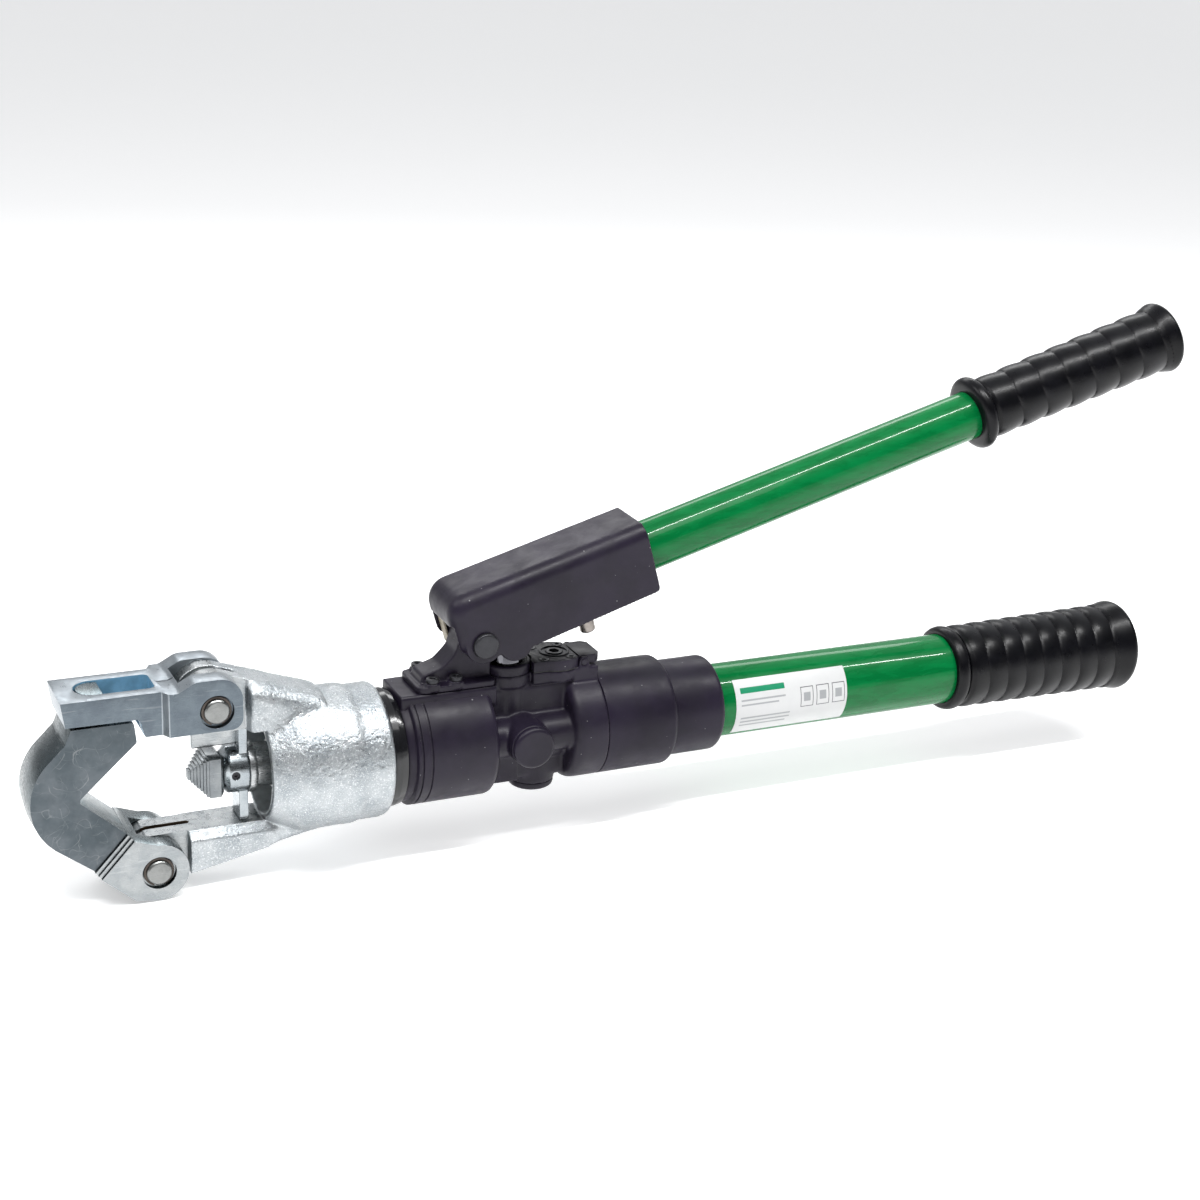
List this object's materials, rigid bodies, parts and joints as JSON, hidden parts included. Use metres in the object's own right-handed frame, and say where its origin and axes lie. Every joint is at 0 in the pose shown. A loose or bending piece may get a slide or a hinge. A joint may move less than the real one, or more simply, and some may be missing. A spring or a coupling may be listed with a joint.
{
  "type": "hydraulic crimping tool",
  "caption": "Manual hydraulic crimping tool: hook jaw held by a flip-open latch, stepped indentor on a ram, swivelling head, pump body, and tube handles with rubber grips.",
  "frame": {"origin": "middle of the nest floor in the hook jaw, on the ram axis", "axes": "+X along the ram axis from the jaw towards the handles, +Z towards the pump-handle side, +Y sideways"},
  "size_m": [0.6207, 0.0684, 0.2494],
  "materials": {
    "forged_steel": "bead-blasted and zinc plated",
    "jaw_steel": "ground faces with a milled rim",
    "hard_steel": "ground",
    "black_oxide": "black oxide",
    "spring_steel": "bright drawn",
    "strip_beige": "matt",
    "black_casting": "satin black coating on a casting",
    "black_sleeve": "satin black coating on turned parts",
    "gloss_black": "gloss black",
    "chrome_plunger": "hard chrome",
    "seal_rubber": "matt",
    "wear_ring": "matt",
    "green_tube": "gloss, faintly mottled fibreglass",
    "tube_plug": "matt",
    "grip_rubber": "satin moulded rubber",
    "label": "printed sheet, left blank of marks"
  },
  "bodies": {
    "pump_body": {"pump_housing": "black_casting", "swivel_ring": "gloss_black", "swivel_wire": "hard_steel", "spring_anchor": "hard_steel", "pivot_bracket": "black_casting", "bracket_bolts": "black_oxide", "top_cover": "black_casting", "cover_gasket": "seal_rubber", "cover_screws": "black_oxide", "filler_plug": "black_oxide", "pump_barrel": "hard_steel", "barrel_collar": "black_casting", "plunger_wiper": "seal_rubber", "side_valve_cap": "black_casting", "bottom_valve_cap": "black_casting", "check_valve_balls": "hard_steel", "reservoir_cover": "black_sleeve", "handle_socket": "black_sleeve", "oil_bladder": "seal_rubber", "bladder_clamp": "black_sleeve", "fixed_tube": "green_tube", "fixed_tube_plug": "tube_plug", "fixed_grip": "grip_rubber", "handle_label": "label", "release_poppet": "hard_steel"},
    "head": {"head_yoke": "forged_steel", "yoke_lock_screw": "black_oxide"},
    "latch": {"latch_arm": "forged_steel", "latch_pin": "hard_steel", "latch_pin_rings": "black_oxide"},
    "jaw": {"hook_jaw": "jaw_steel", "jaw_pin": "hard_steel", "jaw_pin_rings": "black_oxide"},
    "ram": {"indentor": "hard_steel", "guide_collar": "forged_steel", "collar_set_screw": "black_oxide", "ram_lock_nut": "hard_steel", "ram": "hard_steel", "piston_seal": "seal_rubber", "piston_wear_ring": "wear_ring", "ram_return_spring": "spring_steel"},
    "pump_handle": {"handle_housing": "black_casting", "pivot_pin": "black_oxide", "drive_pin": "hard_steel", "release_striker": "hard_steel", "front_strip": "strip_beige", "pump_tube": "green_tube", "pump_grip": "grip_rubber"},
    "plunger": {"pump_plunger": "chrome_plunger"},
    "release_lever": {"release_lever": "black_casting"}
  },
  "joints": [
    {"name": "head_swivel", "type": "hinge", "parent": "pump_body", "child": "head", "pos_m": [0.144, 0, 0], "axis": [1, 0, 0], "range_deg": [-90, 90]},
    {"name": "latch_pivot", "type": "hinge", "parent": "head", "child": "latch", "pos_m": [0.0621, 0, 0.0377], "axis": [0, 1, 0], "range_deg": [0, 90]},
    {"name": "jaw_pivot", "type": "hinge", "parent": "head", "child": "jaw", "pos_m": [0.0336, 0, -0.0388], "axis": [0, -1, 0], "range_deg": [0, 21.6]},
    {"name": "ram_slide", "type": "slide", "parent": "head", "child": "ram", "axis": [-1, 0, 0], "range_m": [0, 0.042]},
    {"name": "pump_handle_pivot", "type": "hinge", "parent": "pump_body", "child": "pump_handle", "pos_m": [0.193, 0, 0.054], "axis": [0, -1, 0], "range_deg": [-7.5, 40]},
    {"name": "plunger_slide", "type": "slide", "parent": "pump_body", "child": "plunger", "axis": [0, 0, 1], "range_m": [-0.0025, 0.013]},
    {"name": "release_pivot", "type": "hinge", "parent": "pump_body", "child": "release_lever", "pos_m": [0.2492, 0, 0.0357], "axis": [0, 1, 0], "range_deg": [0, 4]}
  ],
  "couplings": [
    {"joint": "jaw_pivot", "follows": "latch_pivot", "ratio": 0.24},
    {"joint": "plunger_slide", "follows": "pump_handle_pivot", "m_per_rad": 0.0185}
  ]
}
